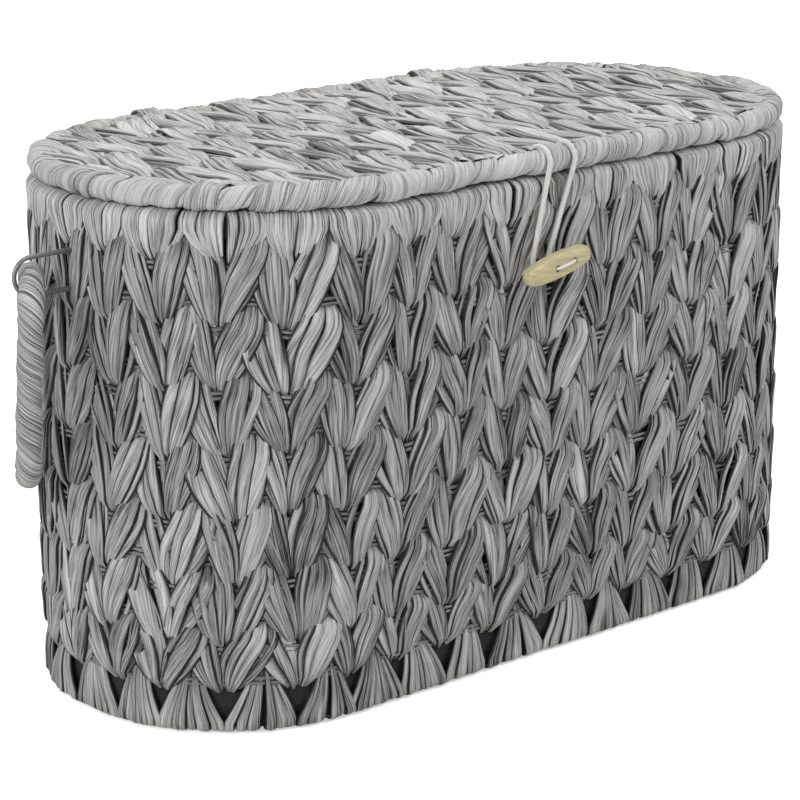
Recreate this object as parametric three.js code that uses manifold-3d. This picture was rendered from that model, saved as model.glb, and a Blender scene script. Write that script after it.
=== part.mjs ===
// An oval lidded basket for toilet rolls: grey paper-cord weave on a welded wire frame, with a
// hinged lid, a wooden toggle with a cord loop, and a wrapped drop handle at each end.
// Millimetres, +Z up. The origin is the middle of the resting face, X runs along the basket
// and the toggle is on the -Y side.
import * as THREE from 'three';
import { mergeVertices } from 'three/addons/utils/BufferGeometryUtils.js';
import Module from 'manifold-3d';

const wasm = await Module();
wasm.setup();

// Basket: outer sizes over the weave.
const rimLength = 400;
const rimDepth = 214.3;
const rimEndFlat = 8.8;
const baseLength = 412.5;
const baseDepth = 183;
const baseEndFlat = 8;
const basketHeight = 236.5;

// Gap between two pieces that touch, and running clearance of what moves.
const seatGap = 0.3;

// Wire: the hoops are the thickest, and thinner wires are welded to them.
const wireDiameter = 3;
const uprightDiameter = 2.7;
const crossWireDiameter = 2.5;
const longWireDiameter = 2.2;

// The wall is two woven skins with the wire frame between them.
const outerSkin = 5;
const innerSkin = 5;
const rimBorderHeight = 11;
const rimBorderOverhang = 0.5;
const baseBorderHeight = 20;
const baseBorderRounding = 2;
const baseSkin = 5;
const floorSkin = 5;

// The plait: each vee is two slanting strands side by side.
const veeCount = 36;
const uprightEvery = 2;
const stationsPerVee = 2;

// Straight wires across the base and the lid.
const crossWireSpacing = 63.4;
const baseCrossWires = 4;
const lidCrossWires = 4;
const longWireSpacing = 90;

// Lid: a border roll round two woven sheets with wires between them.
const lidEndOverhang = -1.5;
const lidSideOverhang = 1.5;
const lidEndFlat = 11.5;
const lidBorderDiameter = 10.6;
const lidTopSkin = 3.7;
const lidUnderSkin = 3.5;
const lidStations = 54;

// Cord ties that hang the lid on the basket's rear rim. Each is midway between two uprights, so
// many uprights from the rear middle.
const tieUprights = 1.5;
const tieWidth = 12;
const tieCordDiameter = 2.4;
const tieSlack = 0.1;

// Toggle: a carved wooden bar on a thread that is sewn through the wall.
const toggleLength = 39;
const toggleHeight = 11.2;
const toggleEndHeight = 7.2;
const toggleThickness = 7.6;
const toggleEdgeRounding = 1.4;
const toggleNose = 3;
const toggleEndFullness = 0.8;
const toggleTilt = THREE.MathUtils.degToRad(11.5);
const toggleCentreX = -16.8;
const toggleDropBelowRim = 40.3;
const toggleWallDistance = 5.7;
const toggleHoleSpacing = 10.7;
const toggleHoleOffset = 2.5;
const toggleHoleDiameter = 2.8;
const threadDiameter = 1.7;
const threadStemDiameter = 3;
const threadStemShift = 2;

// Closure loop: a soft cord from the lid's front border down behind the toggle.
const loopCordDiameter = 2.6;
const loopLidLeftX = -17.3;
const loopLidRightX = -2;
const loopEndFromToggleX = -3.1;
const loopEndAboveToggle = 2;
const loopEndRadius = 4.6;

// Handles: a wrapped wire ring that hangs from a wire eyelet at each end of the basket. The
// two ends are the same, half a turn apart.
const handleBarDiameter = 11.3;
const handleWidth = 61.5;
const handleHeight = 97;
const handleCornerRadius = 17;
const handleYaw = THREE.MathUtils.degToRad(31.4);
const handleDropBelowRim = 33.5;
const handleWallGap = 1.3;
const handleFootLift = 3.4;
const handleCentreY = 0;
const handleStations = 44;
const eyeletWireDiameter = 2.2;
const eyeletPlay = 3.2;

// What follows from those sizes.
const wireRadius = wireDiameter / 2;
const frameDepth = outerSkin + seatGap + wireRadius;
const innerSkinFace = outerSkin + 2 * seatGap + wireDiameter;
const wallThickness = innerSkinFace + innerSkin;
const baseWireHeight = baseSkin + seatGap + wireRadius;
const floorLow = baseWireHeight + wireRadius + seatGap;
const floorTop = floorLow + floorSkin;
const rimLegBottom = basketHeight - rimBorderHeight;
const rimArchCentre = basketHeight - rimBorderHeight / 2;
const wallTop = rimLegBottom - seatGap;
const stationCount = veeCount * stationsPerVee;
const lidBorderRadius = lidBorderDiameter / 2;
const lidLevel = basketHeight + seatGap + lidBorderRadius;
const lidChannelRadius = wireRadius + 2 * seatGap;
const lidSheetInset = lidBorderDiameter + seatGap;
const lidHalfDepth = rimDepth / 2 + lidSideOverhang;
const lidHalfLength = rimLength / 2 + lidEndOverhang;
const lidBorderY = lidHalfDepth - lidBorderRadius;
const toggleCentreZ = basketHeight - toggleDropBelowRim;
const loopEndCentreX = toggleCentreX + loopEndFromToggleX;
const loopEndCentreZ = toggleCentreZ + loopEndAboveToggle;
const handleAxisHeight = basketHeight - handleDropBelowRim;

// A rounded rectangle seen from above, walked anticlockwise from the middle of its front
// side. at(share) gives the point and the outward direction at that share of its length.
function roundedPath(length, depth, endFlat) {
  const radius = (depth - endFlat) / 2;
  const straight = length - 2 * radius;
  const quarter = (Math.PI / 2) * radius;
  const halfRun = straight / 2;
  const endX = length / 2 - radius;
  const endY = endFlat / 2;
  const legs = [
    [halfRun, (s) => ({ x: s, y: -depth / 2, angle: -Math.PI / 2 })],
    [quarter, (s) => corner(endX, -endY, -Math.PI / 2, s)],
    [endFlat, (s) => ({ x: length / 2, y: -endY + s, angle: 0 })],
    [quarter, (s) => corner(endX, endY, 0, s)],
    [straight, (s) => ({ x: halfRun - s, y: depth / 2, angle: Math.PI / 2 })],
    [quarter, (s) => corner(-endX, endY, Math.PI / 2, s)],
    [endFlat, (s) => ({ x: -length / 2, y: endY - s, angle: Math.PI })],
    [quarter, (s) => corner(-endX, -endY, Math.PI, s)],
    [halfRun, (s) => ({ x: -halfRun + s, y: -depth / 2, angle: 1.5 * Math.PI })],
  ];
  const total = legs.reduce((sum, [run]) => sum + run, 0);

  function corner(cx, cy, from, s) {
    const angle = from + s / radius;
    return { x: cx + radius * Math.cos(angle), y: cy + radius * Math.sin(angle), angle };
  }

  return (share) => {
    let left = (share - Math.floor(share)) * total;
    for (const [run, place] of legs) {
      if (left <= run) {
        const { x, y, angle } = place(left);
        return { x, y, nx: Math.cos(angle), ny: Math.sin(angle) };
      }
      left -= run;
    }
    return { x: 0, y: -depth / 2, nx: 0, ny: -1 };
  };
}

const rimPath = roundedPath(rimLength, rimDepth, rimEndFlat);
const basePath = roundedPath(baseLength, baseDepth, baseEndFlat);
const lidPath = roundedPath(2 * lidHalfLength, 2 * lidHalfDepth, lidEndFlat);

// A point of the basket's wall: share of the way round, height, and distance out of the
// weave's outer face. The wall runs straight from the base outline to the rim outline.
function wallPoint(share, z, out) {
  const low = basePath(share);
  const high = rimPath(share);
  const rise = z / basketHeight;
  const nx = low.nx + (high.nx - low.nx) * rise;
  const ny = low.ny + (high.ny - low.ny) * rise;
  const size = Math.hypot(nx, ny);
  return new THREE.Vector3(
    low.x + (high.x - low.x) * rise + (out * nx) / size,
    low.y + (high.y - low.y) * rise + (out * ny) / size,
    z,
  );
}

function lidPoint(share, z, out) {
  const edge = lidPath(share);
  return new THREE.Vector3(edge.x + out * edge.nx, edge.y + out * edge.ny, z);
}

// A closed ring: a closed profile carried round a closed path, with a face between each
// two neighbouring profiles.
function ringGeometry(stations, profileSize, pointAt) {
  const positions = [];
  const index = [];
  for (let i = 0; i < stations; i += 1) {
    for (let j = 0; j < profileSize; j += 1) {
      positions.push(...pointAt(i, j).toArray());
    }
  }
  for (let i = 0; i < stations; i += 1) {
    const next = (i + 1) % stations;
    for (let j = 0; j < profileSize; j += 1) {
      const above = (j + 1) % profileSize;
      const a = i * profileSize + j;
      const b = next * profileSize + j;
      const c = next * profileSize + above;
      const d = i * profileSize + above;
      index.push(a, b, c, a, c, d);
    }
  }
  const geometry = new THREE.BufferGeometry();
  geometry.setAttribute('position', new THREE.Float32BufferAttribute(positions, 3));
  geometry.setIndex(index);
  return facingOut(geometry);
}

function signedVolume(geometry) {
  const position = geometry.getAttribute('position');
  const corners = geometry.getIndex().array;
  const a = new THREE.Vector3();
  const b = new THREE.Vector3();
  const c = new THREE.Vector3();
  let volume = 0;
  for (let i = 0; i < corners.length; i += 3) {
    a.fromBufferAttribute(position, corners[i]);
    b.fromBufferAttribute(position, corners[i + 1]);
    c.fromBufferAttribute(position, corners[i + 2]);
    volume += a.dot(b.cross(c)) / 6;
  }
  return volume;
}

function facingOut(geometry) {
  if (signedVolume(geometry) < 0) {
    geometry.getIndex().array.reverse();
  }
  return geometry;
}

// One solid for the boolean steps, and back again.
function toSolid(geometry) {
  const bare = geometry.clone();
  bare.deleteAttribute('normal');
  bare.deleteAttribute('uv');
  const merged = facingOut(mergeVertices(bare, 1e-4));
  return new wasm.Manifold(new wasm.Mesh({
    numProp: 3,
    vertProperties: new Float32Array(merged.getAttribute('position').array),
    triVerts: new Uint32Array(merged.getIndex().array),
  }));
}

function toGeometry(solid) {
  const { vertProperties, triVerts } = solid.getMesh();
  const geometry = new THREE.BufferGeometry();
  geometry.setAttribute('position', new THREE.Float32BufferAttribute(vertProperties, 3));
  geometry.setIndex([...triVerts]);
  return geometry;
}

function join(geometries) {
  return toGeometry(geometries.map(toSolid).reduce((whole, piece) => whole.add(piece)));
}

function cut(geometry, tools) {
  return toGeometry(tools.map(toSolid).reduce((left, tool) => left.subtract(tool), toSolid(geometry)));
}

// A straight round rod between two points.
function rod(from, to, radius, sides) {
  const run = new THREE.Vector3().subVectors(to, from);
  const geometry = new THREE.CylinderGeometry(radius, radius, run.length(), sides);
  const turn = new THREE.Quaternion().setFromUnitVectors(new THREE.Vector3(0, 1, 0), run.clone().normalize());
  geometry.applyQuaternion(turn);
  const middle = new THREE.Vector3().addVectors(from, to).multiplyScalar(0.5);
  return geometry.translate(middle.x, middle.y, middle.z);
}

function ball(centre, radius) {
  return new THREE.SphereGeometry(radius, 6, 4).translate(centre.x, centre.y, centre.z);
}

function box(low, high) {
  const size = new THREE.Vector3().subVectors(high, low);
  const middle = new THREE.Vector3().addVectors(low, high).multiplyScalar(0.5);
  return new THREE.BoxGeometry(size.x, size.y, size.z).translate(middle.x, middle.y, middle.z);
}

function circleShape(radius, sides) {
  const points = [];
  for (let i = 0; i < sides; i += 1) {
    const angle = (2 * Math.PI * i) / sides;
    points.push(new THREE.Vector2(radius * Math.cos(angle), radius * Math.sin(angle)));
  }
  return new THREE.Shape(points);
}

function tube(curve, diameter, sides, steps) {
  const section = circleShape(diameter / 2, sides);
  return new THREE.ExtrudeGeometry(section, { steps, extrudePath: curve, bevelEnabled: false });
}

// An arc in space about a centre, from one direction through another at right angles to it.
class SpaceArc extends THREE.Curve {
  constructor(centre, first, second, radius, fromAngle, toAngle) {
    super();
    Object.assign(this, { centre, first, second, radius, fromAngle, toAngle });
  }

  getPoint(t, target = new THREE.Vector3()) {
    const angle = this.fromAngle + (this.toAngle - this.fromAngle) * t;
    return target
      .copy(this.centre)
      .addScaledVector(this.first, this.radius * Math.cos(angle))
      .addScaledVector(this.second, this.radius * Math.sin(angle));
  }
}

// Welded wire frame: rim hoop, base hoop, uprights between them and wires across the base.
const wireSides = 6;

function wireHoop(stations, place) {
  return ringGeometry(stations, wireSides, (i, j) => {
    const angle = (2 * Math.PI * j) / wireSides;
    return place(i / stations, wireRadius * Math.sin(angle), wireRadius * Math.cos(angle));
  });
}

// Half the run of a straight wire that crosses an outline at a distance from its middle.
function reachAlongX(length, depth, endFlat, inset, y) {
  const radius = (depth - endFlat) / 2 - inset;
  const into = Math.max(0, Math.abs(y) - endFlat / 2);
  return length / 2 - inset - radius + Math.sqrt(radius * radius - into * into);
}

function reachAlongY(length, depth, endFlat, inset, x) {
  const radius = (depth - endFlat) / 2 - inset;
  const into = Math.max(0, Math.abs(x) - (length / 2 - inset - radius));
  return endFlat / 2 + Math.sqrt(radius * radius - into * into);
}

function crossingWires(length, depth, endFlat, inset, z, count) {
  const wires = [];
  for (let i = 0; i < count; i += 1) {
    const x = (i - (count - 1) / 2) * crossWireSpacing;
    const reach = reachAlongY(length, depth, endFlat, inset, x);
    const ends = [-reach, reach].map((y) => new THREE.Vector3(x, y, z));
    wires.push(rod(...ends, crossWireDiameter / 2, wireSides));
  }
  for (const y of [-longWireSpacing / 2, longWireSpacing / 2]) {
    const reach = reachAlongX(length, depth, endFlat, inset, y);
    const ends = [-reach, reach].map((x) => new THREE.Vector3(x, y, z));
    wires.push(rod(...ends, longWireDiameter / 2, wireSides));
  }
  return wires;
}

function basketFrame() {
  const pieces = [
    wireHoop(stationCount, (share, up, out) => wallPoint(share, rimArchCentre + up, out - frameDepth)),
    wireHoop(stationCount, (share, up, out) => wallPoint(share, baseWireHeight + up, out - frameDepth)),
  ];
  for (let vee = 0; vee < veeCount; vee += uprightEvery) {
    const share = vee / veeCount;
    const foot = wallPoint(share, baseWireHeight, -frameDepth);
    const head = wallPoint(share, rimArchCentre, -frameDepth);
    pieces.push(rod(foot, head, uprightDiameter / 2, wireSides));
  }
  pieces.push(...crossingWires(baseLength, baseDepth, baseEndFlat, frameDepth, baseWireHeight, baseCrossWires));
  return join(pieces);
}

// Woven skins of the wall.
function wallSkin(low, high, outerFace, innerFace) {
  const profile = [[outerFace, low], [outerFace, high], [innerFace, high], [innerFace, low]];
  return ringGeometry(stationCount, profile.length, (i, j) => {
    const [depth, z] = profile[j];
    return wallPoint(i / stationCount, z, -depth);
  });
}

// Outer face of the rolled rim, as distances out of the weave and heights.
function rimArch() {
  const halfWidth = (wallThickness + 2 * rimBorderOverhang) / 2;
  const middle = rimBorderOverhang - halfWidth;
  const steps = 5;
  const arch = [[middle + halfWidth, rimLegBottom]];
  for (let i = 0; i <= steps; i += 1) {
    const angle = (Math.PI * i) / steps;
    arch.push([
      middle + halfWidth * Math.cos(angle),
      rimArchCentre + (rimBorderHeight / 2) * Math.sin(angle),
    ]);
  }
  arch.push([middle - halfWidth, rimLegBottom]);
  return arch;
}

// Rolled rim: an arch of wrapped strands over the rim hoop, on legs that stand on the skins.
function rimBorder() {
  const profile = rimArch();
  const channelTop = rimArchCentre + wireRadius + seatGap;
  profile.push(
    [-innerSkinFace, rimLegBottom],
    [-innerSkinFace, channelTop],
    [-outerSkin, channelTop],
    [-outerSkin, rimLegBottom],
  );
  return ringGeometry(stationCount, profile.length, (i, j) => {
    const [out, z] = profile[j];
    return wallPoint(i / stationCount, z, out);
  });
}

// Base border: strands fan out under the wall and wrap round the base hoop.
function baseBorder() {
  const profile = [
    [-wallThickness, 0],
    [-baseBorderRounding, 0],
    [0, baseBorderRounding],
    [0, baseBorderHeight],
    [-outerSkin, baseBorderHeight],
    [-outerSkin, baseSkin],
    [-wallThickness, baseSkin],
  ];
  return ringGeometry(stationCount, profile.length, (i, j) => {
    const [out, z] = profile[j];
    return wallPoint(i / stationCount, z, out);
  });
}

// A flat sheet inside an outline.
function sheet(outlineAt, stations, low, thickness) {
  const points = [];
  for (let i = 0; i < stations; i += 1) {
    const edge = outlineAt(i / stations);
    points.push(new THREE.Vector2(edge.x, edge.y));
  }
  const geometry = new THREE.ExtrudeGeometry(new THREE.Shape(points), { depth: thickness, bevelEnabled: false });
  return geometry.translate(0, 0, low);
}

// Lid border: a wrapped roll round the lid's hoop, slotted on its inner side for the wires.
function lidBorder() {
  const slotHalf = wireRadius + seatGap;
  const outerFrom = Math.asin(slotHalf / lidBorderRadius);
  const innerFrom = Math.asin(slotHalf / lidChannelRadius);
  const outerSteps = 9;
  const innerSteps = 4;
  const profile = [];
  for (let i = 0; i <= outerSteps; i += 1) {
    const angle = outerFrom + ((2 * Math.PI - 2 * outerFrom) * i) / outerSteps;
    profile.push([-lidBorderRadius * Math.cos(angle), lidBorderRadius * Math.sin(angle)]);
  }
  for (let i = innerSteps; i >= 0; i -= 1) {
    const angle = innerFrom + ((2 * Math.PI - 2 * innerFrom) * i) / innerSteps;
    profile.push([-lidChannelRadius * Math.cos(angle), lidChannelRadius * Math.sin(angle)]);
  }
  return ringGeometry(lidStations, profile.length, (i, j) => {
    const [out, up] = profile[j];
    return lidPoint(i / lidStations, lidLevel + up, out - lidBorderRadius);
  });
}

function lidFrame() {
  const hoop = wireHoop(lidStations, (share, up, out) => lidPoint(share, lidLevel + up, out - lidBorderRadius));
  const wires = crossingWires(
    2 * lidHalfLength, 2 * lidHalfDepth, lidEndFlat, lidBorderRadius, lidLevel, lidCrossWires,
  );
  return join([hoop, ...wires]);
}

// Hinge ties: cord wound round the lid's rear border and the basket's rear rim.
const tieShare = (tieUprights * uprightEvery) / veeCount;
const tieCentres = [0.5 + tieShare, 0.5 - tieShare].map((share) => wallPoint(share, rimArchCentre, 0).x);

function hullOf(points) {
  const sorted = [...points].sort((a, b) => a.x - b.x || a.y - b.y);
  const half = (list) => {
    const chain = [];
    for (const point of list) {
      while (chain.length > 1) {
        const [before, last] = chain.slice(-2);
        const turn = (last.x - before.x) * (point.y - before.y) - (last.y - before.y) * (point.x - before.x);
        if (turn > 1e-9) break;
        chain.pop();
      }
      chain.push(point);
    }
    return chain.slice(0, -1);
  };
  return [...half(sorted), ...half(sorted.reverse())];
}

function tieLoop(grow) {
  const rim = rimArch().map(([out, z]) => ({ y: wallPoint(0.5, z, out).y, z, radius: 0 }));
  const ends = [{ y: lidBorderY, z: lidLevel, radius: lidBorderRadius }, ...rim];
  const points = [];
  const steps = 14;
  for (const { y, z, radius } of ends) {
    for (let i = 0; i < steps; i += 1) {
      const angle = (2 * Math.PI * i) / steps;
      const reach = radius + grow;
      points.push(new THREE.Vector2(y + reach * Math.cos(angle), z + reach * Math.sin(angle)));
    }
  }
  return hullOf(points);
}

function hingeTie(centreX) {
  const shape = new THREE.Shape(tieLoop(seatGap + tieCordDiameter + tieSlack));
  shape.holes.push(new THREE.Path(tieLoop(seatGap + tieSlack)));
  const geometry = new THREE.ExtrudeGeometry(shape, { depth: tieWidth, bevelEnabled: false });
  // The shape's axes are the basket's Y and Z, so the extrusion runs along X.
  geometry.rotateX(Math.PI / 2).rotateZ(Math.PI / 2);
  return geometry.translate(centreX - tieWidth / 2, 0, 0);
}

function tieSlots(low, high) {
  const loop = tieLoop(seatGap + tieCordDiameter + tieSlack);
  const innerY = Math.min(...loop.map((point) => point.x)) - seatGap;
  const outerY = Math.max(...loop.map((point) => point.x)) + seatGap;
  return tieCentres.map((x) => box(
    new THREE.Vector3(x - tieWidth / 2 - seatGap, innerY, low),
    new THREE.Vector3(x + tieWidth / 2 + seatGap, outerY, high),
  ));
}

// Height down to which the ties pass through the wall below the rim.
const tieBottom = rimLegBottom - (seatGap + tieCordDiameter + tieSlack) - seatGap;

// Toggle and its thread.
const wallFrontY = wallPoint(0, toggleCentreZ, 0).y;
const toggleBackY = wallFrontY - toggleWallDistance;
const toggleFrontY = toggleBackY - toggleThickness;

function alongToggle(distance, y) {
  return new THREE.Vector3(
    toggleCentreX + distance * Math.cos(toggleTilt),
    y,
    toggleCentreZ + distance * Math.sin(toggleTilt),
  );
}

const holePlaces = [
  toggleHoleOffset - toggleHoleSpacing / 2,
  toggleHoleOffset + toggleHoleSpacing / 2,
];

function toggleBar() {
  const half = toggleLength / 2 - toggleEdgeRounding;
  const middle = toggleHeight / 2 - toggleEdgeRounding;
  const end = toggleEndHeight / 2 - toggleEdgeRounding;
  const shape = new THREE.Shape();
  shape.moveTo(-half + toggleNose, -end);
  shape.quadraticCurveTo(0, -2 * middle + end, half - toggleNose, -end);
  shape.quadraticCurveTo(half, -end * toggleEndFullness, half, 0);
  shape.quadraticCurveTo(half, end * toggleEndFullness, half - toggleNose, end);
  shape.quadraticCurveTo(0, 2 * middle - end, -half + toggleNose, end);
  shape.quadraticCurveTo(-half, end * toggleEndFullness, -half, 0);
  shape.quadraticCurveTo(-half, -end * toggleEndFullness, -half + toggleNose, -end);
  for (const place of holePlaces) {
    const hole = new THREE.Path();
    hole.absarc(place, 0, toggleHoleDiameter / 2 + toggleEdgeRounding, 0, 2 * Math.PI, true);
    shape.holes.push(hole);
  }
  const geometry = new THREE.ExtrudeGeometry(shape, {
    depth: toggleThickness - 2 * toggleEdgeRounding,
    bevelEnabled: true,
    bevelThickness: toggleEdgeRounding,
    bevelSize: toggleEdgeRounding,
    bevelSegments: 2,
    curveSegments: 5,
  });
  geometry.rotateX(Math.PI / 2).rotateY(-toggleTilt);
  return geometry.translate(toggleCentreX, toggleBackY - toggleEdgeRounding, toggleCentreZ);
}

function toggleThread() {
  const sides = 6;
  const radius = threadDiameter / 2;
  const frontY = toggleFrontY - seatGap - radius;
  const backY = toggleBackY + seatGap + radius;
  const [first, second] = holePlaces;
  const stemHead = alongToggle(toggleHoleOffset + threadStemShift, backY);
  const wallY = wallPoint(0, stemHead.z, 0).y - seatGap;
  const stemFoot = new THREE.Vector3(stemHead.x, wallY, stemHead.z);
  const route = [
    stemHead,
    alongToggle(first, backY),
    alongToggle(first, frontY),
    alongToggle(second, frontY),
    alongToggle(second, backY),
    stemHead,
  ];
  const pieces = [rod(stemHead, stemFoot, threadStemDiameter / 2, sides)];
  for (let i = 1; i < route.length; i += 1) {
    pieces.push(rod(route[i - 1], route[i], radius, sides));
    pieces.push(ball(route[i], radius));
  }
  return join(pieces);
}

// Closure loop: up through the lid behind its border, over it, down the front and round.
const loopRadius = loopCordDiameter / 2;
const loopRideRadius = lidBorderRadius + seatGap + loopRadius;
const loopStartZ = lidLevel - wireRadius;
const loopSlotY = -lidBorderY + loopRideRadius;

function closureLoop() {
  const points = [];
  const addStrand = (lidX, turnX, downward) => {
    const strand = [new THREE.Vector3(lidX, loopSlotY, loopStartZ)];
    const overSteps = 6;
    for (let i = 0; i <= overSteps; i += 1) {
      const angle = (Math.PI * i) / overSteps;
      strand.push(new THREE.Vector3(
        lidX,
        -lidBorderY + loopRideRadius * Math.cos(angle),
        lidLevel + loopRideRadius * Math.sin(angle),
      ));
    }
    const head = strand.at(-1);
    const foot = new THREE.Vector3(turnX, loopLevelY(loopEndCentreZ), loopEndCentreZ);
    const downSteps = 5;
    for (let i = 1; i <= downSteps; i += 1) {
      strand.push(new THREE.Vector3().lerpVectors(head, foot, i / downSteps));
    }
    points.push(...(downward ? strand : strand.reverse()));
  };
  addStrand(loopLidLeftX, loopEndCentreX - loopEndRadius, true);
  const turnSteps = 6;
  for (let i = 1; i < turnSteps; i += 1) {
    const angle = Math.PI + (Math.PI * i) / turnSteps;
    const z = loopEndCentreZ + loopEndRadius * Math.sin(angle);
    points.push(new THREE.Vector3(loopEndCentreX + loopEndRadius * Math.cos(angle), loopLevelY(z), z));
  }
  addStrand(loopLidRightX, loopEndCentreX + loopEndRadius, false);
  const curve = new THREE.CatmullRomCurve3(points, false, 'centripetal');
  return tube(curve, loopCordDiameter, 8, 50);
}

// The loop's lower end lies on the wall's outer face.
function loopLevelY(z) {
  return wallPoint(0, z, 0).y - seatGap - loopRadius;
}

function loopSlots() {
  const half = loopRadius + seatGap;
  return [loopLidLeftX, loopLidRightX].map((x) => box(
    new THREE.Vector3(x - half, -lidHalfDepth, lidLevel),
    new THREE.Vector3(x + half, loopSlotY + half, lidLevel + lidBorderDiameter),
  ));
}

// Handle at one end: side is -1 for the left end and 1 for the right end.
const handleBarRadius = handleBarDiameter / 2;

// The ring's top bar hangs clear of whichever reaches furthest out: the wall, the rim or the lid.
function handleAxisPoint(side) {
  const farthest = Math.max(
    wallPoint(0.25, handleAxisHeight, 0).x,
    wallPoint(0.25, basketHeight, rimBorderOverhang).x,
    lidHalfLength,
  );
  const halfTurn = ((handleWidth - handleBarDiameter) / 2) * Math.sin(handleYaw);
  const x = farthest + handleWallGap + handleBarRadius + halfTurn;
  return new THREE.Vector3(side * x, handleCentreY, handleAxisHeight);
}

// The wall below pushes the ring's foot outwards.
function handleLean() {
  const reach = handleHeight - handleBarDiameter;
  const flare = wallPoint(0.25, handleAxisHeight - reach, 0).x - wallPoint(0.25, handleAxisHeight, 0).x;
  return Math.asin((flare + handleFootLift) / reach);
}

function handleRing(side) {
  const across = new THREE.Vector3(Math.sin(handleYaw), Math.cos(handleYaw), 0);
  const outward = new THREE.Vector3(side * Math.cos(handleYaw), -side * Math.sin(handleYaw), 0);
  const down = new THREE.Vector3(0, 0, -1).applyAxisAngle(across, -side * handleLean());
  outward.applyAxisAngle(across, -side * handleLean());
  const top = handleAxisPoint(side);
  const width = handleWidth - handleBarDiameter;
  const height = handleHeight - handleBarDiameter;
  const middle = top.clone().addScaledVector(down, height / 2);
  const path = roundedPath(width, height, height - 2 * handleCornerRadius);
  const sides = 8;
  return ringGeometry(handleStations, sides, (i, j) => {
    const { x, y, nx, ny } = path(i / handleStations);
    const angle = (2 * Math.PI * j) / sides;
    const out = handleBarRadius * Math.cos(angle);
    return middle
      .clone()
      .addScaledVector(across, x + nx * out)
      .addScaledVector(down, y + ny * out)
      .addScaledVector(outward, handleBarRadius * Math.sin(angle));
  });
}

// Eyelet: a wire staple through the outer skin, with the handle's top bar hung in it.
const eyeletRadius = (2 * handleBarRadius + seatGap + eyeletPlay + eyeletWireDiameter) / 2;

function eyeletLevels() {
  const low = handleAxisHeight - handleBarRadius - seatGap - eyeletWireDiameter / 2;
  return [low, low + 2 * eyeletRadius];
}

function eyelet(side) {
  const bar = handleAxisPoint(side);
  const [low, high] = eyeletLevels();
  const outward = new THREE.Vector3(side, 0, 0);
  const up = new THREE.Vector3(0, 0, 1);
  const footX = (z) => Math.abs(wallPoint(0.25, z, -innerSkinFace + seatGap).x) * side;
  const bend = new THREE.Vector3(bar.x, bar.y, (low + high) / 2);
  const route = new THREE.CurvePath();
  route.add(new THREE.LineCurve3(
    new THREE.Vector3(footX(low), bar.y, low),
    new THREE.Vector3(bar.x, bar.y, low),
  ));
  route.add(new SpaceArc(bend, outward, up, eyeletRadius, -Math.PI / 2, Math.PI / 2));
  route.add(new THREE.LineCurve3(
    new THREE.Vector3(bar.x, bar.y, high),
    new THREE.Vector3(footX(high), bar.y, high),
  ));
  return tube(route, eyeletWireDiameter, 8, 20);
}

function eyeletHoles() {
  const holes = [];
  for (const side of [-1, 1]) {
    for (const z of eyeletLevels()) {
      const bar = handleAxisPoint(side);
      const inner = new THREE.Vector3(side * wallPoint(0.25, z, -innerSkinFace).x, bar.y, z);
      holes.push(rod(inner, new THREE.Vector3(bar.x, bar.y, z), eyeletWireDiameter / 2 + seatGap, 10));
    }
  }
  return holes;
}

// The pieces.
const cordGrey = new THREE.MeshStandardMaterial({ color: 0xa2a19d, roughness: 0.9, metalness: 0 });
const cordShade = new THREE.MeshStandardMaterial({ color: 0x8f8e8a, roughness: 0.92, metalness: 0 });
const wireGrey = new THREE.MeshStandardMaterial({ color: 0x6b6b68, roughness: 0.5, metalness: 0.6 });
const toggleWood = new THREE.MeshStandardMaterial({ color: 0xd2c493, roughness: 0.55, metalness: 0 });
const cottonCord = new THREE.MeshStandardMaterial({ color: 0xd9d8d3, roughness: 0.85, metalness: 0 });

const basket = new THREE.Group();

function add(name, geometry, material) {
  const mesh = new THREE.Mesh(geometry, material);
  mesh.name = name;
  basket.add(mesh);
}

const wallSlots = tieSlots(tieBottom, basketHeight);
const outerWall = wallSkin(baseBorderHeight + seatGap, wallTop, 0, outerSkin);
const innerWall = wallSkin(floorTop + seatGap, wallTop, innerSkinFace, wallThickness);
const baseUnderOutline = (share) => wallPoint(share, 0, -wallThickness - seatGap);
const baseUnder = sheet(baseUnderOutline, stationCount, 0, baseSkin);
const baseFloorOutline = (share) => wallPoint(share, floorLow, -innerSkinFace);
const baseFloor = sheet(baseFloorOutline, stationCount, floorLow, floorSkin);
const lidSlots = tieSlots(lidLevel - lidBorderDiameter, lidLevel + lidBorderDiameter);
const lidSheetOutline = (share) => lidPoint(share, lidLevel, -lidSheetInset);
const lidTop = sheet(lidSheetOutline, lidStations, lidLevel + wireRadius + seatGap, lidTopSkin);
const lidUnder = sheet(lidSheetOutline, lidStations, lidLevel - wireRadius - seatGap - lidUnderSkin, lidUnderSkin);

add('basket_frame', basketFrame(), wireGrey);
add('wall_outer_weave', cut(outerWall, [...wallSlots, ...eyeletHoles()]), cordGrey);
add('wall_inner_weave', cut(innerWall, wallSlots), cordShade);
add('rim_border', rimBorder(), cordGrey);
add('base_border', baseBorder(), cordGrey);
add('base_under_weave', baseUnder, cordShade);
add('base_floor_weave', baseFloor, cordShade);
add('lid_frame', lidFrame(), wireGrey);
add('lid_border', lidBorder(), cordGrey);
add('lid_top_weave', cut(lidTop, [...lidSlots, ...loopSlots()]), cordGrey);
add('lid_under_weave', cut(lidUnder, lidSlots), cordShade);
add('left_hinge_tie', hingeTie(tieCentres[0]), cordGrey);
add('right_hinge_tie', hingeTie(tieCentres[1]), cordGrey);
add('toggle', toggleBar(), toggleWood);
add('toggle_thread', toggleThread(), cottonCord);
add('closure_loop', closureLoop(), cottonCord);
add('left_eyelet', eyelet(-1), wireGrey);
add('left_handle', handleRing(-1), cordGrey);
add('right_eyelet', eyelet(1), wireGrey);
add('right_handle', handleRing(1), cordGrey);

export default basket;
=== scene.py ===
import math
from itertools import product

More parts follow.
